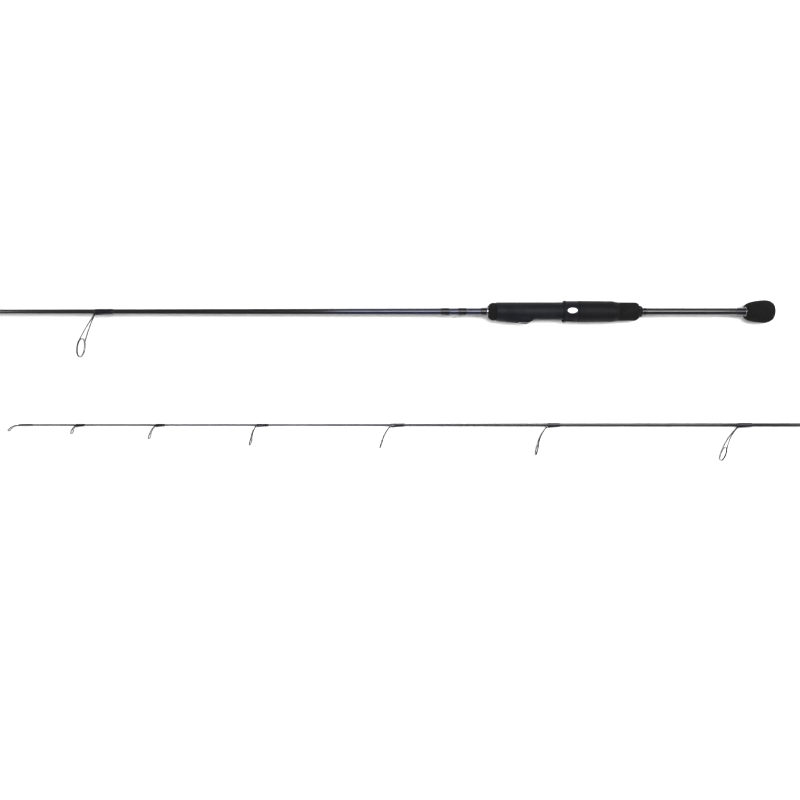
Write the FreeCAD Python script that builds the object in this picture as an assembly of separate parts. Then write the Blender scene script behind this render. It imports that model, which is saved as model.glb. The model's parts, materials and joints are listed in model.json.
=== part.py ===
import FreeCAD, Part
import math
import os

# A two-section spinning rod, taken apart, with its sections lying side by side on a flat surface.
#
# Each section is modelled along X as it is fished: tip towards -X, guides and reel foot hanging
# towards -Z.  A place along the rod is its station, the distance from the butt end of the rod put
# together, so a piece sits at X = -station.  At the end both sections are laid on their sides.
# Lengths are in millimetres.

V = FreeCAD.Vector
ORIGIN = V(0, 0, 0)
ALONG = V(1, 0, 0)

# ---- the rod as a whole
section_length = 1018.0      # one section, end to end
ferrule_overlap = 55.0       # how far the spigot enters the tip section
rod_length = 2 * section_length - ferrule_overlap
tip_rear = rod_length - section_length
section_gap = 136.6          # between the two axes as they lie
section_stagger = 91.6       # the tip section's rear end lies this far behind the butt end
tip_draw = section_stagger + tip_rear

# ---- blank: outer radius at a few stations, straight tapers between them
blank_inset = 5.0            # the blank's rear end stops this far inside the butt grip
butt_radius = 4.35
seat_blank_radius = 4.25
middle_radius = 3.3
ferrule_radius = 2.38
tip_belly_radius = 2.0
tip_mid_radius = 1.5
tip_fine_radius = 1.05
tip_end_radius = 0.95
middle_share = 0.524         # of the bare blank in front of the handle
belly_share = 0.331          # of the tip section, from its rear end
mid_share = 0.520
fine_share = 0.647
butt_wall = 1.1
tip_bore_radius = 0.45
tip_bore_share = 0.586       # where the tip section's bore reaches its least
spigot_radius = 1.70
spigot_slide = 0.02          # radial clearance of the spigot in its socket
spigot_glued = 60.0          # length of the spigot glued into the butt section
spigot_glue_line = 0.35      # the glued length is this much thinner, in radius
spigot_neck = 0.5            # of the thin length shows in front of the butt section
socket_taper = 60.0          # length of the bore's taper beyond the socket
socket_step = 0.4
blank_to_tip_end = 14.0      # the tip section's blank stops this far short of the rod's end

ferrule_wrap_length = 24.0   # from a section's ferrule end to the far end of its wrap
ferrule_wrap_end = 0.5       # bare blank at the ferrule end

# ---- butt grip, its check ring and its wrap
knob_length = 34.1
knob_radius = 13.7
knob_crown = 12.0            # station of its widest place
knob_dome = 3.4              # depth of the domed end
knob_rim_radius = 10.6
knob_waist_radius = 10.9
knob_front_radius = 9.0
knob_round = 3.5             # length of the round at its front
check_width = 1.4
check_rise = 1.2
check_edge = 0.4
butt_wrap_length = 9.4
wrap_skin = 0.45             # thread and lacquer on the bare blank
trim_wrap_length = 3.6
trim_wrap_gap = 2.0          # from the nut's end cap to the trim wrap behind it

# ---- reel seat
seat_rear = 254.1            # station of the shoulder behind the foot platform
platform_length = 36.0       # from the shoulder to the end of the fixed hood's sides
mouth_slant = 10.9           # the fixed hood's roof ends this far in front of its sides
roof_length = 31.2
seat_length = 80.5
mouth_rear = seat_rear + platform_length
mouth_top = mouth_rear + mouth_slant
hood_front = mouth_top + roof_length
seat_front = seat_rear + seat_length
seat_radius = 11.15
shroud_skin = 0.35           # the fixed hood's shell stands this proud of the barrel
shroud_front_height = 5.0    # the shell's slanting edge starts this far above the axis
platform_cut = 1.65          # how deep the foot platform is cut into the barrel
platform_height = seat_radius - platform_cut
foot_room = 4.25             # height of the room for a reel foot under the fixed hood
hood_roof = 1.05
hood_reach = platform_height + foot_room + hood_roof
roof_inset = 2.15
hood_roller = seat_radius - roof_inset   # radius of the fixed hood's round roof
foot_width = 12.6
foot_depth = 18.0            # how far the room goes in under the fixed hood
seat_edge = 0.8
arbor_length = 34.0
arbor_inset = 6.0

# ---- threaded tail of the seat, and the thread of the nut
crest_drop = 0.05            # the thread's crest lies this far below the platform
thread_height = 0.85
tail_crest = platform_height - crest_drop
tail_root = tail_crest - thread_height
tail_wall = 1.6
seat_bore = tail_root - tail_wall
thread_pitch = 2.5
thread_base = 0.58 * thread_pitch    # width of a ridge at its root
thread_tip = 0.22 * thread_pitch     # width of a ridge at its crest
thread_sink = 0.1            # a ridge starts this deep in its barrel
thread_gap = 0.25            # radial room between the two threads
nut_thread_length = 14.0
hood_travel = 24.0
key_width = 3.0
key_depth = 1.1
key_gap = 0.3
key_sink = 0.4               # the key goes this deep into the hood's wall

# ---- moving hood
sliding_gap = 0.3
hood_length = 16.9
neck_length = 3.2            # the nut's neck, which turns inside the hood
neck_wall = 1.3
neck_gap = 0.3               # room round the neck, at its end and at both sides of the clip
neck_radius = tail_crest + thread_gap + neck_wall
clip_width = 1.0
clip_start = 1.0             # from the hood's rear face to the clip
clip_seat = 0.6              # how deep the clip sits in the hood's groove
clip_reach = 0.45            # how deep it reaches into the neck's groove
clip_cover = 0.7             # the hood's wall over the clip
clip_split = 2.4
clip_outer = neck_radius + neck_gap + clip_seat
hood_radius = clip_outer + clip_cover
rim_rise = 0.6
hood_rim = hood_radius + rim_rise
hood_rim_length = 3.2
pocket_wall = 1.0            # between the neck's room and the pocket for the reel foot
badge_length = 11.0
badge_width = 6.6
badge_depth = 0.45
badge_gap = 0.4              # from the rim to the badge

# ---- locking nut, its sleeve and its end cap
nut_length = 42.0
nut_rise = 0.25              # the nut stands this proud of the hood
nut_fall = 0.4               # and tapers by this much to its rear
nut_front_radius = hood_radius + nut_rise
nut_rear_radius = nut_front_radius - nut_fall
nut_taper_length = 6.0
nut_edge = 0.6
cavity_room = 3.0            # from the tail's end to the bottom of the nut, closed
running_gap = 0.35           # between the blank's wraps and what slides over them
hub_bore = butt_radius + wrap_skin + running_gap
hub_wall = 2.45
nut_hub_radius = hub_bore + hub_wall
sleeve_length = 25.3
sleeve_wall = 3.5
sleeve_radius = nut_hub_radius + sleeve_wall
sleeve_round = 4.5           # length of the round at the sleeve's rear
sleeve_lip = 0.8             # the sleeve's rear edge stands this high over the hub
end_cap_length = 4.2
end_cap_wall = 1.35
end_cap_radius = hub_bore + end_cap_wall
end_cap_flare = 1.2
end_cap_edge = 0.6           # the cap's small chamfer, and its length
end_cap_edge_length = 1.0
hood_rear = seat_rear - hood_length
tail_length = hood_length + hood_travel + nut_thread_length
tail_rear = seat_rear - tail_length
nut_front = hood_rear - neck_gap
nut_rear = nut_front - nut_length
sleeve_front = nut_rear - nut_taper_length
sleeve_rear = sleeve_front - sleeve_length
cap_rear = sleeve_rear - end_cap_length

# ---- in front of the seat
grip_ring_length = 9.7
grip_ring_radius = 10.75
grip_ring_front = 6.0
grip_ring_round = 1.0
grip_ring_flat = 4.2         # length of its widest part
grip_ring_belly = (1.8, 2.0) # the curve in front passes this far from its end, this far under its top
front_wrap_length = 7.0
handle_front = seat_front + grip_ring_length + check_width
keeper_wire = 0.45
keeper_toe = 0.15            # radius of the wire's tapered ends
keeper_gap = 0.05            # between the wire and the blank
keeper_cover = 0.15          # lacquer over the wire
keeper_drop = 2.3
keeper_loop = 10.8
keeper_setback = 34.2        # from the handle's front to the loop's rear end
keeper_foot = 7.0
keeper_wrap_length = 10.0
keeper_station = handle_front + keeper_setback

# ---- guides: (where the foot's front is, ring height, ring lead, ring radius, the ring's forward
# lean in degrees, the legs' forward bow as a share of their length, wrap length); the place is a
# share of the bare blank for the stripper, and of the tip section for the others
stripper = (0.700, 43.4, 17.2, 11.7, 8.0, 0.02, 21.7)
tip_guides = [
    (0.128, 35.3, 20.6, 9.0, 20.0, 0.06, 17.0),
    (0.356, 30.2, 13.6, 7.3, 14.0, 0.07, 15.8),
    (0.543, 22.7, 11.2, 5.75, 18.0, 0.06, 17.0),
    (0.703, 20.4, 6.8, 5.15, 15.0, 0.08, 14.6),
    (0.824, 13.7, 6.4, 3.9, 15.0, 0.08, 11.6),
    (0.919, 8.0, 4.1, 3.4, 16.0, 0.08, 11.0),
]
hoop_wall_base = 0.25        # the ring holder's and the ceramic ring's walls and widths:
hoop_wall_share = 0.025      # each a base and a share of the ring's radius
hoop_width_base = 0.7
hoop_width_share = 0.068
insert_width_base = 0.9
insert_width_share = 0.085
insert_wall_base = 0.45
insert_wall_share = 0.055
leg_radius_base = 0.42
leg_radius_share = 0.022
leg_spread = 50.0            # where a leg meets the ring, in degrees from its nearest point
knuckle_share = 1.9          # radius of the round knuckle at the legs' root, in leg radii
root_gap = 0.15              # the knuckle clears the blank and the wrap by this much
foot_height = 0.85
foot_width_front = 2.2
foot_width_toe = 1.0
foot_toe = 0.2               # height of the foot's thin rear end
foot_sink = 0.4              # the foot is cut to the blank from this depth
foot_short = 2.5             # the wrap runs on this far behind the foot
foot_cover = 0.3             # lacquer over the foot
swell_share = 0.47           # a swelling's size at its far end, as a share of its size at the near end
swell_inset = 0.5            # it stops this far short of both ends of its wrap

# ---- tip-top
tip_tube_length = 13.4
tip_tube_wall = 0.3
tip_tube_end = 0.6           # thickness of the tube's closed end
tip_ring_radius = 2.9
tip_ring_height = 5.4
tip_ring_lean = 40.0
tip_leg_radius = 0.45
tip_leg_bow = 0.12
tip_wrap_length = 3.0
tip_wrap_skin = 0.3

# ---- how the sections lie
resting_gap = 0.1            # the tip section's lowest places are this close to the surface
butt_axis_height = knob_radius
tip_axis_height = ferrule_radius + wrap_skin + resting_gap


# ------------------------------------------------------------------ helpers

def at(station, radius):
    return V(-station, 0, radius)


def outline(start, *moves):
    """A closed wire through (station, radius) points; a pair of points is an arc through the first."""
    edges = []
    here = start
    for move in moves:
        if isinstance(move[0], tuple):
            edges.append(Part.Arc(at(*here), at(*move[0]), at(*move[1])).toShape())
            here = move[1]
        else:
            edges.append(Part.LineSegment(at(*here), at(*move)).toShape())
            here = move
    if here != start:
        edges.append(Part.LineSegment(at(*here), at(*start)).toShape())
    return Part.Wire(edges)


def turned(start, *moves):
    """A solid of revolution about the rod's axis."""
    return Part.Face(outline(start, *moves)).revolve(ORIGIN, ALONG, 360)


def barrel(rear, front, radius):
    """A plain cylinder on the axis between two stations."""
    return Part.makeCylinder(radius, front - rear, at(front, 0), ALONG)


def tube(rear, front, outer, inner):
    return barrel(rear, front, outer).cut(barrel(rear, front, inner))


def slab(rear, front, width, low, high):
    """A box between two stations, centred across the rod, from Z = low to Z = high."""
    return Part.makeBox(front - rear, width, high - low, V(-front, -width / 2, low))


def joined(solids):
    """One solid from several that overlap."""
    whole = solids[0]
    for solid in solids[1:]:
        whole = whole.fuse(solid)
    return whole


def tapered_bar(start, end, start_radius, end_radius):
    """A straight round bar that tapers."""
    return Part.makeCone(start_radius, end_radius, (end - start).Length, start, end - start)


def bent_bar(start, through, end, radius):
    """A round bar along the arc through three points."""
    path = Part.Wire([Part.Arc(start, through, end).toShape()])
    tangent = path.Edges[0].tangentAt(path.Edges[0].FirstParameter)
    section = Part.Wire([Part.makeCircle(radius, start, tangent)])
    return path.makePipeShell([section], True, False)


# ------------------------------------------------------------------ blank

bare_blank = section_length - handle_front
butt_taper = [
    (blank_inset, butt_radius),
    (handle_front, seat_blank_radius),
    (handle_front + middle_share * bare_blank, middle_radius),
    (section_length, ferrule_radius),
]
tip_taper = [
    (tip_rear, ferrule_radius),
    (tip_rear + belly_share * section_length, tip_belly_radius),
    (tip_rear + mid_share * section_length, tip_mid_radius),
    (tip_rear + fine_share * section_length, tip_fine_radius),
    (rod_length - blank_to_tip_end, tip_end_radius),
]


def radius_on(taper, station):
    """The blank's outer radius at a station."""
    for (rear, thick), (front, thin) in zip(taper, taper[1:]):
        if station <= front:
            return thick + (thin - thick) * (station - rear) / (front - rear)
    return taper[-1][1]


def skin(taper, rear, front, thickness):
    """A sleeve that follows the blank's surface, with round shoulders at both ends."""
    inside = [s for s, _ in taper if rear < s < front]
    foot = [(s, radius_on(taper, s)) for s in [rear] + inside + [front]]
    r0 = foot[0][1]
    r1 = foot[-1][1]
    run = min(2 * thickness, (front - rear) / 3)
    curve = 0.3 * thickness
    return turned(
        *foot,
        ((front - 0.3 * run, r1 + thickness - curve), (front - run, r1 + thickness)),
        (rear + run, r0 + thickness),
        ((rear + 0.3 * run, r0 + thickness - curve), foot[0]),
    )


def level_middle(low, top):
    """The middle of the arc from a low point to a top point that runs level at its top."""
    along = low[0] - top[0]
    drop = top[1] - low[1]
    radius = (along ** 2 + drop ** 2) / (2 * drop)
    half = math.atan2(abs(along), radius - drop) / 2
    return (top[0] + math.copysign(radius * math.sin(half), along),
            top[1] - radius * (1 - math.cos(half)))


def blank_core(taper):
    """The blank's outside, filled solid."""
    return turned((taper[0][0], 0), *taper, (taper[-1][0], 0))


def butt_blank():
    glue_rear = section_length - spigot_glued
    walls = [(station, radius - butt_wall) for station, radius in butt_taper[:-1]]
    glue_radius = spigot_radius - spigot_glue_line
    end = min(glue_radius, radius_on(butt_taper, glue_rear) - butt_wall)
    bore = turned((blank_inset, 0), *walls, (glue_rear, end), (glue_rear, 0))
    solid = blank_core(butt_taper).cut(bore)
    return solid.cut(barrel(glue_rear, section_length, glue_radius))


def ferrule_spigot():
    neck_front = section_length + spigot_neck
    glued = barrel(section_length - spigot_glued, neck_front, spigot_radius - spigot_glue_line)
    return glued.fuse(barrel(neck_front, section_length + ferrule_overlap, spigot_radius))


def tip_blank():
    end = tip_taper[-1][0]
    socket_front = tip_rear + ferrule_overlap
    socket_radius = spigot_radius + spigot_slide
    solid = blank_core(tip_taper).cut(barrel(tip_rear, socket_front, socket_radius))
    return solid.cut(turned(
        (socket_front, 0),
        (socket_front, socket_radius),
        (socket_front + socket_taper, socket_radius - socket_step),
        (tip_rear + tip_bore_share * section_length, tip_bore_radius),
        (end, tip_bore_radius),
        (end, 0)))


# ------------------------------------------------------------------ guides

def disc(radius, width, centre, lean):
    """A disc across X, leaned and moved to its place."""
    return leaned(Part.makeCylinder(radius, width, V(-width / 2, 0, 0), ALONG), centre, lean)


def leaned(solid, centre, lean):
    solid.rotate(ORIGIN, V(0, 1, 0), lean)
    solid.translate(centre)
    return solid


def hoop_wall(radius):
    return hoop_wall_base + hoop_wall_share * radius


def hoop_width(radius):
    return hoop_width_base + hoop_width_share * radius


def insert_wall(radius):
    return insert_wall_base + insert_wall_share * radius


def insert_width(radius):
    return insert_width_base + insert_width_share * radius


def ceramic_ring(radius, centre, lean):
    """The ceramic insert: its bore is fully rounded."""
    outer = radius - hoop_wall(radius)
    half = insert_width(radius) / 2
    solid = turned((-half, outer), ((0, outer - insert_wall(radius)), (half, outer)))
    return leaned(solid, centre, lean)


def ring_point(centre, lean, radius, angle, side):
    """A point on a leaned ring, at an angle from its nearest point to the rod."""
    tilt = math.radians(lean)
    up = V(math.sin(tilt), 0, math.cos(tilt))
    turn = math.radians(angle)
    return centre + up * (radius * math.cos(turn)) + V(0, side * radius * math.sin(turn), 0)


def legs(root, centre, lean, ring_radius, leg_radius, bow):
    """Two bowed legs from one root to the sides of a ring."""
    solids = []
    for side in (-1, 1):
        start = root + V(0, side * leg_radius * 0.8, 0)
        end = ring_point(centre, lean, ring_radius, leg_spread, side)
        run = end - start
        forward = V(run.z, 0, -run.x)
        if forward.x > 0:
            forward = forward * -1
        through = (start + end) * 0.5 + forward * bow
        solids.append(bent_bar(start, through, end, leg_radius))
    return [Part.makeSphere(knuckle_share * leg_radius, root)] + solids


def hoop_with_legs(root, centre, lean, ring_radius, leg_radius, bow):
    """A guide's ring holder and legs, open where the ceramic ring goes."""
    hoop = disc(ring_radius, hoop_width(ring_radius), centre, lean)
    solid = joined([hoop] + legs(root, centre, lean, ring_radius, leg_radius, bow))
    hole = disc(ring_radius - hoop_wall(ring_radius), 4 * insert_width(ring_radius), centre, lean)
    return solid.cut(hole)


def guide(taper, core, station, height, lead, ring_radius, lean, bow, wrap_length):
    """A single-foot guide: wire frame, ceramic ring, and the thread wrap over its foot."""
    blank_here = radius_on(taper, station)
    centre = at(station + lead, -height)
    leg_radius = leg_radius_base + leg_radius_share * ring_radius
    knuckle = knuckle_share * leg_radius
    root_station = station + knuckle + root_gap
    root = at(root_station, -(blank_here + knuckle + root_gap))
    legged = hoop_with_legs(root, centre, lean, ring_radius, leg_radius, bow)
    foot_rear = station - wrap_length + foot_short
    foot_front = root_station + 0.4 * knuckle
    blank_rear = radius_on(taper, foot_rear)
    side = Part.Face(outline(
        (foot_front, foot_sink - blank_here),
        (foot_front, -(blank_here + foot_height)),
        (foot_rear, -(blank_rear + foot_toe)),
        (foot_rear, foot_sink - blank_rear),
    )).extrude(V(0, foot_width_front, 0))
    side.translate(V(0, -foot_width_front / 2, 0))
    plan = Part.Face(outline(
        (foot_front, -foot_width_front / 2),
        (foot_front, foot_width_front / 2),
        (foot_rear, foot_width_toe / 2),
        (foot_rear, -foot_width_toe / 2),
    )).extrude(V(0, 2 * (blank_here + foot_height), 0))
    plan.rotate(ORIGIN, ALONG, -90)
    foot = side.common(plan)
    frame = legged.fuse(foot.cut(core))
    ring = ceramic_ring(ring_radius, centre, lean)
    cover = math.hypot(foot_width_front / 2, foot_height + foot_sink) + foot_cover
    wrap = foot_wrap(taper, core, foot, station - wrap_length, station, cover)
    return frame, ring, wrap


def foot_wrap(taper, core, metal, rear, front, cover_radius, foot_from_front=True):
    """Thread and lacquer round the blank, swelling over a foot that lies on its underside.

    The swelling is largest at the end where the foot comes in, and shrinks to the other end.
    """
    sleeve = skin(taper, rear, front, wrap_skin)
    tail = swell_share * cover_radius
    ends = (cover_radius, tail) if foot_from_front else (tail, cover_radius)
    depth = radius_on(taper, front if foot_from_front else rear) - foot_sink
    swell = Part.makeCone(*ends, front - rear - 2 * swell_inset, at(front - swell_inset, -depth), ALONG)
    return sleeve.fuse(swell).cut(metal).cut(core)


# ------------------------------------------------------------------ hook keeper

def hook_keeper():
    """A wire loop under the blank, its two ends lying along the blank under thread."""
    rear = keeper_station
    front = rear + keeper_loop
    bend_rear = on_blank(rear, keeper_wire)
    bend_front = on_blank(front, keeper_wire)
    low = bend_rear + V(-keeper_loop / 2, 0, -keeper_drop)
    return joined([
        tapered_bar(bend_rear, on_blank(rear - keeper_foot, keeper_toe), keeper_wire, keeper_toe),
        Part.makeSphere(keeper_wire, bend_rear),
        bent_bar(bend_rear, low, bend_front, keeper_wire),
        Part.makeSphere(keeper_wire, bend_front),
        tapered_bar(bend_front, on_blank(front + keeper_foot, keeper_toe), keeper_wire, keeper_toe),
    ])


def on_blank(station, radius):
    """The centre of a wire that lies along the blank's underside."""
    return at(station, -(radius_on(butt_taper, station) + keeper_gap + radius))


# ------------------------------------------------------------------ thread

def ridge(root, crest, start, length):
    """A right-hand helical ridge about the rod's axis, running towards the butt from X = start."""
    helix = Part.makeHelix(thread_pitch, length, root)
    half_base = thread_base / 2
    half_tip = thread_tip / 2
    corners = [V(root, 0, -half_base), V(crest, 0, -half_tip), V(crest, 0, half_tip), V(root, 0, half_base)]
    section = Part.makePolygon(corners + corners[:1])
    solid = Part.Wire(helix.Edges).makePipeShell([section], True, True)
    solid.rotate(ORIGIN, V(0, 1, 0), 90)
    solid.translate(V(start, 0, 0))
    return solid


# ------------------------------------------------------------------ reel seat

def foot_channel():
    """The room for a reel foot, from under the fixed hood to the seat's shoulder."""
    return slab(seat_rear, mouth_rear + foot_depth, foot_width,
                hood_roof - hood_reach, -platform_height)


def fixed_hood():
    """A shell round the barrel's underside that rises to a round roof over the foot."""
    offset_front = seat_radius + shroud_skin - hood_roller
    offset_rear = hood_reach - hood_roller
    front = Part.Wire([Part.makeCircle(hood_roller, at(hood_front, -offset_front), ALONG)])
    top = Part.Wire([Part.makeCircle(hood_roller, at(mouth_top, -offset_rear), ALONG)])
    rear = Part.Wire([Part.makeCircle(hood_roller, at(mouth_rear, -offset_rear), ALONG)])
    roof = Part.makeLoft([front, top], True, True).fuse(Part.makeLoft([top, rear], True, True))
    shell = barrel(mouth_rear, hood_front, seat_radius + shroud_skin).fuse(roof)
    side = Part.Face(outline(
        (hood_front, shroud_front_height),
        (hood_front, -2 * hood_reach),
        (mouth_top, -2 * hood_reach),
        (mouth_top, -hood_reach),
        ((mouth_rear + 0.3 * mouth_slant, -hood_reach + 0.35 * (hood_reach - platform_height)),
         (mouth_rear, -platform_height)),
    )).extrude(V(0, 4 * seat_radius, 0))
    side.translate(V(0, -2 * seat_radius, 0))
    return shell.common(side)


def reel_seat_body():
    """Barrel, foot platform, fixed hood and threaded tail in one moulding."""
    round_middle = (seat_front - 0.3 * seat_edge, seat_radius - 0.3 * seat_edge)
    body = turned(
        (seat_rear, 0), (seat_rear, seat_radius), (seat_front - seat_edge, seat_radius),
        (round_middle, (seat_front, seat_radius - seat_edge)), (seat_front, 0))
    body = body.cut(slab(seat_rear, mouth_top, 3 * seat_radius, -2 * seat_radius, -platform_height))
    body = body.fuse(fixed_hood()).cut(foot_channel())
    thread = ridge(tail_root - thread_sink, tail_crest, tail_thread_start(), tail_length - 2 * thread_pitch)
    body = body.fuse(barrel(tail_rear, seat_rear, tail_root)).fuse(thread)
    keyway = slab(tail_rear, seat_rear, key_width + 2 * key_gap, tail_crest - key_depth, seat_radius)
    return body.cut(keyway).cut(barrel(tail_rear, seat_front, seat_bore))


def arbor(rear):
    """A light bush that fills the space between blank and seat."""
    front = rear + arbor_length
    return turned(
        (rear, radius_on(butt_taper, rear)), (rear, seat_bore),
        (front, seat_bore), (front, radius_on(butt_taper, front)))


# ------------------------------------------------------------------ moving hood and nut

neck_room_front = hood_rear + neck_length + neck_gap
clip_rear = hood_rear + clip_start
clip_front = clip_rear + clip_width
pocket_rear = neck_room_front + pocket_wall


def moving_hood():
    rim_rear = seat_rear - hood_rim_length
    bore = tail_crest + sliding_gap
    step = 0.5 * rim_rise
    body = turned(
        (hood_rear, 0), (hood_rear, hood_radius), (rim_rear, hood_radius),
        ((rim_rear + step, hood_rim - 0.3 * step), (rim_rear + 2 * step, hood_rim)),
        (seat_rear - rim_rise, hood_rim), (seat_rear, hood_radius), (seat_rear, 0))
    body = body.cut(barrel(hood_rear, seat_rear, bore))
    body = body.cut(slab(pocket_rear, seat_rear, foot_width, hood_roof - hood_rim, 0))
    key = slab(pocket_rear, seat_rear, key_width, tail_crest - key_depth + key_gap, bore + key_sink)
    body = body.fuse(key)
    body = body.cut(barrel(hood_rear, neck_room_front, neck_radius + neck_gap))
    body = body.cut(barrel(clip_rear, clip_front, clip_outer))
    return body.cut(hood_badge())


def hood_badge():
    """A plain oval plate let into the hood's side."""
    centre = seat_rear - hood_rim_length - badge_gap - badge_length / 2
    oval = Part.Ellipse(ORIGIN, badge_length / 2, badge_width / 2)
    oval = Part.Face(Part.Wire([oval.toShape()])).extrude(V(0, 0, 2 * hood_radius))
    oval.rotate(ORIGIN, ALONG, 90)
    oval.translate(V(-centre, 0, 0))
    return oval.common(tube(hood_rear, seat_rear, hood_radius, hood_radius - badge_depth))


def retaining_clip():
    """The split ring that ties the nut to the hood and lets it turn."""
    ring = tube(clip_rear, clip_front, clip_outer, neck_radius - clip_reach)
    return ring.cut(slab(clip_rear, clip_front, clip_split, 0, 2 * hood_radius))


def locking_nut():
    """Barrel with an internal thread, a neck that turns in the hood, and a hub for the sleeve."""
    neck_front = hood_rear + neck_length
    room = tail_crest + thread_gap
    body = turned(
        (sleeve_front, 0), (sleeve_front, sleeve_radius), (nut_rear, nut_rear_radius),
        (nut_front - nut_edge, nut_front_radius), (nut_front, nut_front_radius - nut_edge),
        (nut_front, neck_radius), (neck_front, neck_radius), (neck_front, 0))
    body = body.fuse(barrel(sleeve_rear, nut_rear, nut_hub_radius))
    body = body.cut(barrel(tail_rear - cavity_room, neck_front, room))
    body = body.cut(barrel(sleeve_rear, tail_rear - cavity_room, hub_bore))
    body = body.cut(tube(clip_rear - neck_gap, clip_front + neck_gap,
                         hood_radius, neck_radius - clip_reach - neck_gap))
    return body.fuse(ridge(room + thread_sink, tail_root + thread_gap, nut_thread_start(),
                           nut_thread_length - 1.5 * thread_pitch))


def tail_thread_start():
    return thread_pitch - seat_rear


def nut_thread_start():
    """The first place behind the nut's front where its ridge falls midway between the tail's."""
    turns = math.ceil((seat_rear - nut_front) / thread_pitch)
    return tail_thread_start() + (turns + 0.5) * thread_pitch


def nut_grip_sleeve():
    middle = (sleeve_rear + 0.27 * sleeve_round, sleeve_radius - 0.27 * sleeve_round)
    return turned(
        (sleeve_front, nut_hub_radius), (sleeve_front, sleeve_radius),
        (sleeve_rear + sleeve_round, sleeve_radius),
        (middle, (sleeve_rear, nut_hub_radius + sleeve_lip)), (sleeve_rear, nut_hub_radius))


def nut_end_cap():
    return turned(
        (sleeve_rear, hub_bore), (sleeve_rear, end_cap_radius + end_cap_flare),
        (cap_rear + end_cap_edge_length, end_cap_radius),
        (cap_rear, end_cap_radius - end_cap_edge), (cap_rear, hub_bore))


# ------------------------------------------------------------------ grips, checks and plain wraps

def front_grip_ring():
    """A short foam cone between the blank and the seat."""
    rear = seat_front
    front = rear + grip_ring_length
    edge = grip_ring_round
    belly_length, belly_drop = grip_ring_belly
    return turned(
        (rear, radius_on(butt_taper, rear)), (rear, grip_ring_radius - edge),
        ((rear + 0.3 * edge, grip_ring_radius - 0.3 * edge), (rear + edge, grip_ring_radius)),
        (rear + grip_ring_flat, grip_ring_radius),
        ((front - belly_length, grip_ring_radius - belly_drop), (front, grip_ring_front)),
        (front, radius_on(butt_taper, front)))


def butt_grip():
    """A pear-shaped knob: domed end, widest a third of the way along, drawn in towards the blank."""
    crown = (knob_crown, knob_radius)
    rim = (knob_dome, knob_rim_radius)
    waist = (knob_length - knob_round, knob_waist_radius)
    knob = turned(
        (0, 0),
        ((0.3 * knob_dome, 0.53 * knob_rim_radius), rim),
        (level_middle(rim, crown), crown),
        (level_middle(waist, crown), waist),
        ((knob_length - 0.3 * knob_round, 0.4 * knob_waist_radius + 0.6 * knob_front_radius),
         (knob_length, knob_front_radius)),
        (knob_length, 0))
    core = blank_core(butt_taper)
    return knob.cut(core.common(barrel(0, knob_length, knob_radius)))


def check_ring(rear):
    """A small metal ring that finishes the end of a grip."""
    front = rear + check_width
    return turned(
        (rear, radius_on(butt_taper, rear)), (rear, butt_radius + check_rise),
        (front - check_edge, butt_radius + check_rise), (front, butt_radius + check_rise - check_edge),
        (front, radius_on(butt_taper, front)))


# ------------------------------------------------------------------ tip-top

def tip_top():
    """Tube, wire frame and ceramic ring at the rod's end, and the thread that finishes the tube."""
    blank_end = rod_length - blank_to_tip_end
    tube_rear = blank_end - tip_tube_length
    inner = radius_on(tip_taper, tube_rear)
    outer = inner + tip_tube_wall
    tube_end = blank_end + tip_tube_end
    plug = barrel(tube_rear, tube_end, outer)
    sleeve = plug.cut(barrel(tube_rear, blank_end, inner))
    tilt = math.radians(tip_ring_lean)
    centre = at(rod_length - tip_ring_radius * math.sin(tilt) - hoop_width(tip_ring_radius) / 2,
                -tip_ring_height)
    root = at(tube_end - 0.5 * tip_leg_radius, -0.5 * outer)
    frame = hoop_with_legs(root, centre, tip_ring_lean, tip_ring_radius, tip_leg_radius, tip_leg_bow)
    frame = frame.cut(plug)
    ring = ceramic_ring(tip_ring_radius, centre, tip_ring_lean)
    wrap = skin(tip_taper, tube_rear - tip_wrap_length, tube_rear, tip_wrap_skin)
    return sleeve, frame, ring, wrap


# ------------------------------------------------------------------ the two sections

def butt_section():
    core = blank_core(butt_taper)
    pieces = {"butt_blank": butt_blank(), "ferrule_spigot": ferrule_spigot()}
    wraps = {
        "butt_ferrule_wrap": (section_length - ferrule_wrap_length, section_length - ferrule_wrap_end),
        "seat_front_wrap": (handle_front, handle_front + front_wrap_length),
        "rear_trim_wrap": (cap_rear - trim_wrap_gap - trim_wrap_length, cap_rear - trim_wrap_gap),
        "butt_grip_wrap": (knob_length + check_width, knob_length + check_width + butt_wrap_length),
    }
    for name, (rear, front) in wraps.items():
        pieces[name] = skin(butt_taper, rear, front, wrap_skin)

    share, *sizes = stripper
    add_guide(pieces, "stripper_guide", butt_taper, core, handle_front + share * bare_blank, sizes)

    keeper = hook_keeper()
    pieces["hook_keeper"] = keeper
    loop_front = keeper_station + keeper_loop
    cover = foot_sink + keeper_gap + 2 * keeper_wire + keeper_cover
    pieces["keeper_rear_wrap"] = foot_wrap(
        butt_taper, core, keeper, keeper_station - keeper_wrap_length, keeper_station, cover)
    pieces["keeper_front_wrap"] = foot_wrap(
        butt_taper, core, keeper, loop_front, loop_front + keeper_wrap_length, cover, False)

    pieces["reel_seat_body"] = reel_seat_body()
    pieces["seat_rear_arbor"] = arbor(tail_rear + arbor_inset)
    pieces["seat_front_arbor"] = arbor(seat_front - arbor_inset - arbor_length)
    pieces["front_grip_ring"] = front_grip_ring()
    pieces["front_check_ring"] = check_ring(handle_front - check_width)
    pieces["butt_grip"] = butt_grip()
    pieces["butt_check_ring"] = check_ring(knob_length)

    pieces["moving_hood"] = moving_hood()
    pieces["hood_badge"] = hood_badge()
    pieces["hood_retaining_clip"] = retaining_clip()
    pieces["locking_nut"] = locking_nut()
    pieces["nut_grip_sleeve"] = nut_grip_sleeve()
    pieces["nut_end_cap"] = nut_end_cap()
    return pieces


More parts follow.
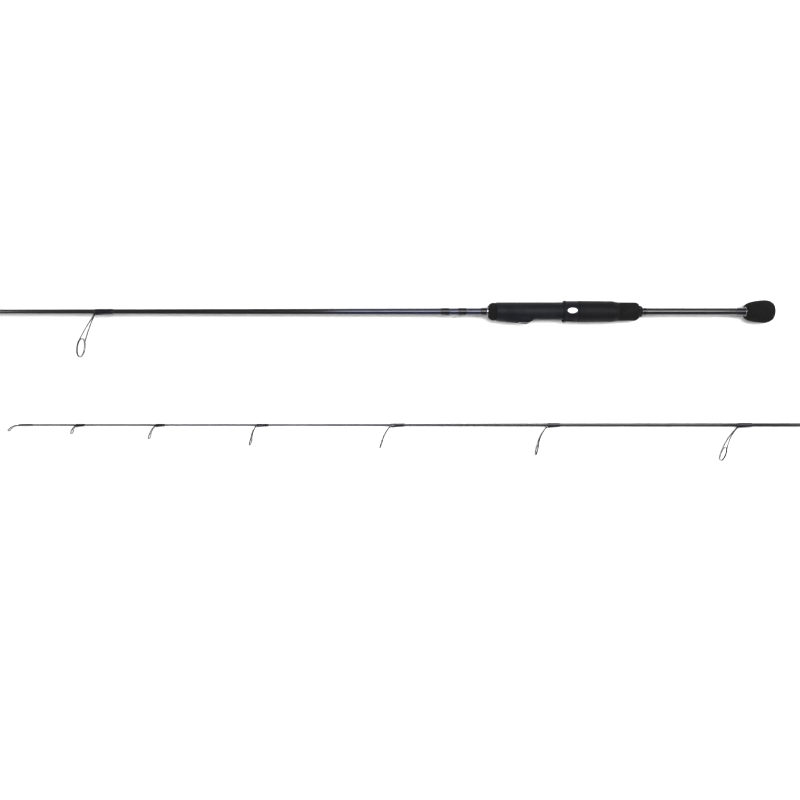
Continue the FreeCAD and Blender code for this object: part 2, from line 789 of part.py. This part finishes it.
def add_guide(pieces, name, taper, core, station, sizes):
    frame, ring, wrap = guide(taper, core, station, *sizes)
    pieces[f"{name}_frame"] = frame
    pieces[f"{name}_ring"] = ring
    pieces[f"{name}_wrap"] = wrap


def tip_section():
    core = blank_core(tip_taper)
    pieces = {"tip_blank": tip_blank()}
    pieces["tip_ferrule_wrap"] = skin(
        tip_taper, tip_rear + ferrule_wrap_end, tip_rear + ferrule_wrap_length, wrap_skin)
    for number, (share, *sizes) in enumerate(tip_guides, start=1):
        add_guide(pieces, f"guide_{number}", tip_taper, core, tip_rear + share * section_length, sizes)
    names = ("tip_top_tube", "tip_top_frame", "tip_top_ring", "tip_top_wrap")
    pieces.update(zip(names, tip_top()))
    return pieces


# ------------------------------------------------------------------ laying them down

def tip_roll():
    """How far the tip section's guides tilt up, so that the largest ring rests on the surface."""
    _, height, _, ring_radius, *_ = tip_guides[0]
    return math.degrees(math.asin((ring_radius + resting_gap - tip_axis_height) / height))


def laid(pieces, roll, shift):
    for solid in pieces.values():
        solid.rotate(ORIGIN, ALONG, roll)
        solid.translate(shift)
    return pieces


def layout_shift():
    """From the butt end's frame to the middle of the space that the laid rod fills."""
    low_x = -(section_length + ferrule_overlap)
    high_x = section_stagger
    _, height, _, ring_radius, lean, *_ = tip_guides[0]
    roll = math.radians(tip_roll())
    tilt = math.radians(lean)
    ring_reach = ring_radius * math.cos(tilt) + hoop_width(ring_radius) / 2 * math.sin(tilt)
    high_y = knob_radius
    low_y = -(section_gap + (height + ring_reach) * math.cos(roll))
    return V(-(low_x + high_x) / 2, -(low_y + high_y) / 2, 0)


def whole_rod():
    middle = layout_shift()
    butt = laid(butt_section(), -90, middle + V(0, 0, butt_axis_height))
    tip = laid(tip_section(), -90 - tip_roll(), middle + V(tip_draw, -section_gap, tip_axis_height))
    return {**butt, **tip}


def main():
    os.makedirs("parts", exist_ok=True)
    for name, solid in whole_rod().items():
        solid.exportStep(f"parts/{name}.step")


main()
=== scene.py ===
"""A spinning rod, taken apart, with its two sections lying side by side on a pale surface."""
import json
import math

import bpy
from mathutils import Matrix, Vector, noise
from mathutils.bvhtree import BVHTree

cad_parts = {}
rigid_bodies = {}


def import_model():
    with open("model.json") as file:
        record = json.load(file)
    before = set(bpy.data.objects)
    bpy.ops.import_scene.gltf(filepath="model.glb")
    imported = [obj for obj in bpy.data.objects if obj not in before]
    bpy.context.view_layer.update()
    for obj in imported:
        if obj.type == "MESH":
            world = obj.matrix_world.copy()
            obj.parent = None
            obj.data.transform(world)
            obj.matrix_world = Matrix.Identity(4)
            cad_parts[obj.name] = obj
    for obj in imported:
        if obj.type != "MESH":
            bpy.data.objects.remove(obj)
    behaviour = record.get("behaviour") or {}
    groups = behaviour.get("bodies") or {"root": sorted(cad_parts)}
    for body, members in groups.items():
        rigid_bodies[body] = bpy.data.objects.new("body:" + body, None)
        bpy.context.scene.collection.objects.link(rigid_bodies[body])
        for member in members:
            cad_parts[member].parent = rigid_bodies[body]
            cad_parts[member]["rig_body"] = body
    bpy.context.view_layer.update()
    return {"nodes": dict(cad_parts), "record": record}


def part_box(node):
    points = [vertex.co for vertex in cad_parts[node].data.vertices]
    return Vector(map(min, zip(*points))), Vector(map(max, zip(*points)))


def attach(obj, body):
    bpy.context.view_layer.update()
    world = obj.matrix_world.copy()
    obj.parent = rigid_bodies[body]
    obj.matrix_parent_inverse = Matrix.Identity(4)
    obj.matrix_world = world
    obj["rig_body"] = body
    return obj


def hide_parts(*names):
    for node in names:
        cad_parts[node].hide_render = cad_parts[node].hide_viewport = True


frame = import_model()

SCENE = bpy.context.scene
NODES = frame["nodes"]
SLOTS = {part["node"]: part["material_slot"] for part in frame["record"]["subparts"]}
MM = 0.001

THREAD_PITCH = 0.3 * MM
THREAD_DEPTH = 0.008 * MM        # what the lacquer leaves of the valleys between turns
TAPE_PITCH = 2.2 * MM            # of the tape that is wound over a blank before it is cured
FOAM_CELL = 0.9 * MM
FOAM_SWELL = 5 * MM              # size of the foam's slow unevenness
FOAM_STEP = 0.35 * MM
SHARP_EDGE = math.radians(38)

COAL = (0.005, 0.005, 0.007)
INDIGO = (0.011, 0.011, 0.042)
# Paler blue-grey of a painted reflection along a stretch of the tip blank, not a colour of the carbon.
PAINTED_REFLECTION_SLATE = (0.045, 0.048, 0.066)


# ------------------------------------------------------------------ node materials

class Finish:
    """A procedural material around one Principled shader, with textures in object space."""

    def __init__(self, name, **sockets):
        self.material = bpy.data.materials.new(name)
        self.material.use_nodes = True
        self.tree = self.material.node_tree
        self.shader = self.tree.nodes["Principled BSDF"]
        for socket, value in sockets.items():
            self.shader.inputs[socket.replace("_", " ")].default_value = value
        self.place = self.add("ShaderNodeTexCoord").outputs["Object"]
        self.normal = None

    def add(self, kind, inputs=None, **settings):
        node = self.tree.nodes.new(kind)
        for key, value in settings.items():
            setattr(node, key, value)
        for socket, value in (inputs or {}).items():
            if isinstance(value, bpy.types.NodeSocket):
                self.tree.links.new(value, node.inputs[socket])
            else:
                node.inputs[socket].default_value = value
        return node

    def stretched(self, x, y, z):
        """Object coordinates scaled differently along each axis."""
        return self.add("ShaderNodeMapping", {"Vector": self.place, "Scale": (x, y, z)}).outputs[0]

    def noise(self, scale, detail=3.0, roughness=0.5, vector=None):
        inputs = {"Vector": vector or self.place, "Scale": scale, "Detail": detail, "Roughness": roughness}
        return self.add("ShaderNodeTexNoise", inputs).outputs["Fac"]

    def cells(self, scale):
        inputs = {"Vector": self.place, "Scale": scale}
        return self.add("ShaderNodeTexVoronoi", inputs).outputs["Distance"]

    def bands(self, pitch, vector=None, distortion=0.0):
        """Even bands across X, one to a pitch in metres."""
        inputs = {"Vector": vector or self.place, "Scale": math.pi / 10 / pitch, "Distortion": distortion}
        return self.add("ShaderNodeTexWave", inputs, wave_type="BANDS", bands_direction="X").outputs["Fac"]

    def ramp(self, factor, *stops):
        """A colour ramp; a stop is (place from 0 to 1, colour)."""
        node = self.add("ShaderNodeValToRGB", {"Fac": factor})
        elements = node.color_ramp.elements
        while len(elements) < len(stops):
            elements.new(0.5)
        for element, (place, colour) in zip(elements, stops):
            element.position = place
            element.color = (*colour, 1.0)
        return node.outputs["Color"]

    def spread(self, factor, low, high, start=0.25, end=0.75):
        """The factor from start to end, as values from low to high."""
        inputs = {"Value": factor, "From Min": start, "From Max": end, "To Min": low, "To Max": high}
        return self.add("ShaderNodeMapRange", inputs).outputs["Result"]

    def mixed(self, factor, a, b, blend="MIX"):
        node = self.add("ShaderNodeMix", data_type="RGBA", blend_type=blend)
        for socket, value in zip(("Factor_Float", "A_Color", "B_Color"), (factor, a, b)):
            target = next(i for i in node.inputs if i.identifier == socket)
            if isinstance(value, bpy.types.NodeSocket):
                self.tree.links.new(value, target)
            else:
                target.default_value = value
        return next(o for o in node.outputs if o.identifier == "Result_Color")

    def bump(self, height, distance, strength):
        """Relief of a distance in metres, on top of any relief added before."""
        inputs = {"Height": height, "Distance": distance, "Strength": strength}
        if self.normal:
            inputs["Normal"] = self.normal
        self.normal = self.add("ShaderNodeBump", inputs).outputs["Normal"]

    def done(self, colour, roughness):
        links = self.tree.links
        links.new(colour, self.shader.inputs["Base Color"])
        links.new(roughness, self.shader.inputs["Roughness"])
        if self.normal:
            links.new(self.normal, self.shader.inputs["Normal"])
        return self.material


def carbon_blank(name, *tints_and_painted_reflections):
    """Clear-coated graphite: a dark body whose colour changes along the rod, faint tape ridges, and fine
    dust in the coat. Each stop is (place along X, colour); the tip blank's paler slate stretch is a painted
    reflection."""
    f = Finish(name, Metallic=0.35, Coat_Weight=1.0, Coat_Roughness=0.1, Coat_IOR=1.45,
               Specular_IOR_Level=0.3)
    along = f.add("ShaderNodeSeparateXYZ", {"Vector": f.place}).outputs["X"]
    first, last = tints_and_painted_reflections[0][0], tints_and_painted_reflections[-1][0]
    share = f.spread(along, 0.0, 1.0, first, last)
    # A paler stop paints a reflection into the body colour, as on the tip blank's slate stretch.
    body = f.ramp(share, *[((x - first) / (last - first), colour) for x, colour in tints_and_painted_reflections])
    flow = f.noise(140.0, 4.0, vector=f.stretched(0.15, 1.0, 1.0))
    colour = f.mixed(f.spread(flow, 0.0, 0.5), body, (0.002, 0.002, 0.003, 1.0))
    fleck = f.cells(2600.0)
    sparkle = f.ramp(fleck, (0.05, (0.03, 0.03, 0.05)), (0.16, (0.0, 0.0, 0.0)))
    colour = f.mixed(1.0, colour, sparkle, "ADD")
    f.bump(f.bands(TAPE_PITCH, f.stretched(1.0, 0.25, 0.25), 0.4), 0.012 * MM, 0.6)
    return f.done(colour, f.spread(flow, 0.26, 0.38))


def thread_wrap(name, dark, light):
    """Wound nylon under a thick coat of lacquer."""
    f = Finish(name, Coat_Weight=1.0, Coat_Roughness=0.06, Coat_IOR=1.4, Specular_IOR_Level=0.1)
    wound = f.bands(THREAD_PITCH)
    colour = f.ramp(wound, (0.15, dark), (0.75, light))
    drift = f.noise(900.0, 2.0)
    colour = f.mixed(f.spread(drift, 0.0, 0.5), colour, (*dark, 1.0))
    return f.done(colour, f.spread(drift, 0.25, 0.4))


def moulded(name, dark, light, rough, grain=0.025):
    """Matte moulded polymer with a fine eroded grain."""
    f = Finish(name, Specular_IOR_Level=0.1)
    body = f.noise(60.0, 5.0)
    colour = f.ramp(body, (0.3, dark), (0.7, light))
    f.bump(f.noise(4200.0, 2.0), grain * MM, 0.7)
    f.bump(f.cells(2600.0), grain * MM, 0.5)
    return f.done(colour, f.spread(f.noise(220.0, 4.0), *rough))


def foam():
    """Dense EVA: matte black, finely pored, with a few paler closed cells."""
    f = Finish("grip_foam", Specular_IOR_Level=0.1)
    cell = f.cells(2100.0)
    colour = f.ramp(cell, (0.1, (0.001, 0.001, 0.001)), (0.5, (0.005, 0.005, 0.005)),
                    (0.8, (0.014, 0.014, 0.014)))
    cloud = f.noise(90.0, 4.0)
    colour = f.mixed(f.spread(cloud, 0.0, 0.45), colour, (0.004, 0.004, 0.004, 1.0))
    f.bump(cell, 0.06 * MM, 0.8)
    f.bump(f.noise(5200.0, 2.0), 0.02 * MM, 0.6)
    return f.done(colour, f.spread(cloud, 0.8, 0.95))


def metal(name, dark, light, rough, brush=(1.0, 1.0, 1.0)):
    """Bare metal, with fine brushing or polishing lines."""
    f = Finish(name, Metallic=1.0)
    lines = f.noise(1500.0, 4.0, 0.6, f.stretched(*brush))
    colour = f.ramp(lines, (0.25, dark), (0.75, light))
    f.bump(lines, 0.006 * MM, 0.6)
    return f.done(colour, f.spread(lines, *rough))


def painted(name, dark, light):
    """Thin lacquer or plating on wire, blotched a little lighter."""
    f = Finish(name, Metallic=0.3, Coat_Weight=0.3, Coat_Roughness=0.12, Specular_IOR_Level=0.25)
    blotch = f.noise(700.0, 4.0)
    colour = f.ramp(blotch, (0.3, dark), (0.72, light))
    f.bump(f.noise(3000.0, 3.0), 0.006 * MM, 0.6)
    return f.done(colour, f.spread(blotch, 0.16, 0.3))


def ceramic():
    """Polished aluminium oxide: very smooth, with a faint mottle in the body."""
    f = Finish("ring_ceramic", Coat_Weight=0.8, Coat_Roughness=0.03, IOR=1.76)
    mottle = f.noise(2500.0, 3.0)
    colour = f.ramp(mottle, (0.3, (0.025, 0.026, 0.03)), (0.7, (0.07, 0.072, 0.08)))
    return f.done(colour, f.spread(mottle, 0.08, 0.16))


def cork_board():
    """The pressed fibre of the arbors."""
    f = Finish("arbor_foam", Specular_IOR_Level=0.2)
    fibre = f.noise(1300.0, 6.0, 0.65)
    colour = f.ramp(fibre, (0.3, (0.18, 0.13, 0.08)), (0.7, (0.42, 0.33, 0.22)))
    f.bump(fibre, 0.08 * MM, 0.8)
    return f.done(colour, f.spread(fibre, 0.8, 0.95))


def badge():
    """A pale satin plate with fine turning lines."""
    f = Finish("badge", Metallic=0.35, Coat_Weight=0.6, Coat_Roughness=0.08)
    lines = f.noise(900.0, 4.0, 0.6, f.stretched(0.15, 3.0, 1.0))
    colour = f.ramp(lines, (0.25, (0.62, 0.64, 0.67)), (0.75, (0.86, 0.87, 0.89)))
    f.bump(lines, 0.004 * MM, 0.6)
    return f.done(colour, f.spread(lines, 0.24, 0.38))


# The finish of each of the record's material slots, and of the one node that differs from its slot.
LOOKS = {
    "carbon_blank": carbon_blank("butt_carbon", (-0.5, COAL), (-0.06, COAL), (-0.02, INDIGO),
                                 (0.16, INDIGO), (0.24, COAL), (0.5, COAL)),
    # The tip blank's slate stretch is a painted reflection of the lights on the thin glossy rod.
    "tip_blank": carbon_blank("tip_carbon_painted_reflection", (-0.45, COAL), (-0.255, COAL), (-0.235, PAINTED_REFLECTION_SLATE), (-0.01, PAINTED_REFLECTION_SLATE),
                              (0.12, COAL), (0.58, COAL)),
    "spigot_carbon": moulded("spigot_carbon", (0.012, 0.012, 0.014), (0.03, 0.03, 0.034), (0.3, 0.42),
                             0.012),
    "thread_wrap": thread_wrap("thread_wrap", (0.001, 0.001, 0.002), (0.005, 0.005, 0.011)),
    "guide_frame": painted("guide_frame", (0.002, 0.002, 0.003), (0.007, 0.007, 0.009)),
    "small_guide_frame": painted("small_guide_frame", (0.005, 0.005, 0.005), (0.018, 0.017, 0.016)),
    "ring_ceramic": ceramic(),
    "keeper_wire": metal("keeper_wire", (0.2, 0.2, 0.21), (0.4, 0.4, 0.42), (0.12, 0.22)),
    "seat_polymer": moulded("seat_polymer", (0.005, 0.0055, 0.008), (0.009, 0.0095, 0.013), (0.46, 0.6)),
    "hood_polymer": moulded("hood_polymer", (0.004, 0.0045, 0.007), (0.008, 0.008, 0.011), (0.44, 0.56)),
    "nut_polymer": moulded("nut_polymer", (0.003, 0.003, 0.004), (0.006, 0.006, 0.007), (0.5, 0.64), 0.035),
    "arbor_foam": cork_board(),
    "badge": badge(),
    "spring_steel": metal("spring_steel", (0.4, 0.4, 0.42), (0.6, 0.6, 0.62), (0.2, 0.34)),
    "grip_foam": foam(),
    "check_aluminium": metal("check_aluminium", (0.16, 0.16, 0.18), (0.34, 0.34, 0.37), (0.16, 0.28),
                             brush=(0.1, 2.0, 2.0)),
}


# ------------------------------------------------------------------ pieces with fine relief

def axis_of(node):
    """The (y, z) of the section's axis that a node lies round: its blank's middle."""
    blank = "butt_blank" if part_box(node)[1].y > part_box("butt_blank")[0].y else "tip_blank"
    low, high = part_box(blank)
    return (low.y + high.y) / 2, (low.z + high.z) / 2


def relieved(name, node, step, around, relief, open_rear=True):
    """A closed skin over a turned CAD solid, cut inwards by relief(x, angle, radius).

    Rays towards the axis find the solid's outside, and rays from the axis find its bore. With
    open_rear the bore runs right through; without it the rear is closed.
    """
    source = NODES[node]
    mesh = source.data
    tree = BVHTree.FromPolygons([v.co for v in mesh.vertices], [p.vertices[:] for p in mesh.polygons])
    low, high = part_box(node)
    y, z = axis_of(node)
    reach = 50 * MM           # farther from the axis than any turned solid
    edge = 0.002 * MM         # how far inside the end faces the rays stay
    count = max(3, round((high.x - low.x) / step))
    places = [low.x + (high.x - low.x) * i / count for i in range(count + 1)]
    outs = [Vector((0, math.cos(2 * math.pi * k / around), math.sin(2 * math.pi * k / around)))
            for k in range(around)]

    def radius(x, out, inwards):
        probe = min(max(x, low.x + edge), high.x - edge)
        centre = Vector((probe, y, z))
        if inwards:
            hit = tree.ray_cast(centre + out * reach, -out, reach)
            return reach - hit[3] if hit[0] else 0.0
        hit = tree.ray_cast(centre, out, reach)
        return hit[3] if hit[0] else 0.0

    def ring(x, radii):
        return [Vector((x, y, z)) + out * r for out, r in zip(outs, radii)]

    rings = []
    for x in places:
        radii = [radius(x, out, True) for out in outs]
        cut = [r - relief(x, 2 * math.pi * k / around, r) for k, r in enumerate(radii)]
        rings.append(ring(x, cut))
    rings.insert(0, ring(places[0], [radius(places[0], out, False) for out in outs]))
    if open_rear:
        rings.append(ring(places[-1], [radius(places[-1], out, False) for out in outs]))
    points = [p for r in rings for p in r]
    last = len(rings) - 1
    pairs = [(i, i + 1) for i in range(last)] + ([(last, 0)] if open_rear else [])
    faces = [(a * around + k, b * around + k, b * around + n, a * around + n)
             for a, b in pairs for k, n in zip(range(around), (*range(1, around), 0))]
    if not open_rear:
        faces.append([last * around + k for k in range(around)])
        faces.append(list(reversed(range(around))))
    piece_mesh = bpy.data.meshes.new(name)
    piece_mesh.from_pydata(points, [], faces)
    piece_mesh.validate()
    piece_mesh.shade_smooth()
    piece_mesh.set_sharp_from_angle(angle=SHARP_EDGE)
    piece = bpy.data.objects.new(name, piece_mesh)
    SCENE.collection.objects.link(piece)
    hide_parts(node)
    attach(piece, source["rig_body"])
    slot = SLOTS[node]
    piece_mesh.materials.append(LOOKS[slot])
    return piece


def wound(x, angle, radius):
    """The valleys between turns of thread, nearly filled by lacquer."""
    return THREAD_DEPTH * (0.5 + 0.5 * math.cos(2 * math.pi * x / THREAD_PITCH + angle))


def pores(x, angle, radius):
    """Small pits and a slow unevenness, as in sanded foam."""
    place = Vector((x, radius * math.cos(angle), radius * math.sin(angle)))
    near = noise.voronoi(place / FOAM_CELL)[0][0]
    slow = noise.noise(place / FOAM_SWELL)
    return 0.05 * MM * max(0.0, 1 - 2.2 * near) + 0.03 * MM * (1 + slow)


for node in [n for n in NODES if n.endswith("_wrap")]:
    relieved(node.replace("_wrap", "_thread"), node, THREAD_PITCH / 5, 40, wound)

for piece in (relieved("butt_grip_foam", "butt_grip", FOAM_STEP, 240, pores, open_rear=False),
              relieved("nut_sleeve_foam", "nut_grip_sleeve", FOAM_STEP, 200, pores),
              relieved("front_ring_foam", "front_grip_ring", FOAM_STEP, 180, pores)):
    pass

for node, source in NODES.items():
    if not source.hide_render:
        source.data.materials.clear()
        source.data.materials.append(LOOKS.get(node) or LOOKS[SLOTS[node]])


# ------------------------------------------------------------------ surface, light and camera

def floor(half):
    """A square of pale paper, to half its side from the middle."""
    mesh = bpy.data.meshes.new("floor")
    corners = [(-half, -half, 0), (half, -half, 0), (half, half, 0), (-half, half, 0)]
    mesh.from_pydata(corners, [], [(0, 1, 2, 3)])
    surface = bpy.data.objects.new("floor", mesh)
    SCENE.collection.objects.link(surface)
    f = Finish("floor", Specular_IOR_Level=0.1)
    paper = f.noise(900.0, 3.0)
    mesh.materials.append(f.done(f.ramp(paper, (0.3, (0.93, 0.93, 0.93)), (0.7, (0.95, 0.95, 0.95))),
                                 f.spread(paper, 0.8, 0.95)))


def soft_box(name, place, target, size, power):
    light = bpy.data.lights.new(name, "AREA")
    light.shape = "RECTANGLE"
    light.size, light.size_y = size
    light.energy = power
    box = bpy.data.objects.new(name, light)
    SCENE.collection.objects.link(box)
    box.location = place
    box.rotation_euler = (Vector(target) - Vector(place)).to_track_quat("-Z", "Y").to_euler()


def studio_walls(name, wall, ceiling):
    """Pale walls all round, up to a dimmer ceiling."""
    room = bpy.data.worlds.new(name)
    room.use_nodes = True
    nodes, links = room.node_tree.nodes, room.node_tree.links
    split = nodes.new("ShaderNodeSeparateXYZ")
    links.new(nodes.new("ShaderNodeTexCoord").outputs["Generated"], split.inputs["Vector"])
    fade = nodes.new("ShaderNodeMapRange")
    fade.interpolation_type = "SMOOTHSTEP"
    for socket, value in (("From Min", 0.1), ("From Max", 0.3), ("To Min", wall), ("To Max", ceiling)):
        fade.inputs[socket].default_value = value
    links.new(split.outputs["Z"], fade.inputs["Value"])
    links.new(fade.outputs["Result"], nodes["Background"].inputs["Strength"])
    nodes["Background"].inputs["Color"].default_value = (1.0, 1.0, 1.0, 1.0)
    return room


floor(4.0)
soft_box("left", (-1.7, 0.0, 1.5), (0.0, 0.0, 0.0), (1.0, 1.0), 22.0)
soft_box("right", (1.8, 0.0, 1.5), (0.0, 0.0, 0.0), (1.0, 1.0), 22.0)
soft_box("top", (0.46, 0.3, 1.6), (0.46, 0.05, 0.0), (1.3, 0.5), 30.0)
SCENE.world = studio_walls("studio", 0.85, 0.22)
SCENE.view_settings.view_transform = "Standard"

# The lens looks straight down, and takes in VIEW_WIDTH of the surface.
VIEW_HEIGHT = 0.95
VIEW_WIDTH = 0.976
camera = bpy.data.objects.new("camera", bpy.data.cameras.new("camera"))
SCENE.collection.objects.link(camera)
camera.location = (0.0408, -0.0232, VIEW_HEIGHT)
camera.data.lens = camera.data.sensor_width * VIEW_HEIGHT / VIEW_WIDTH
SCENE.camera = camera
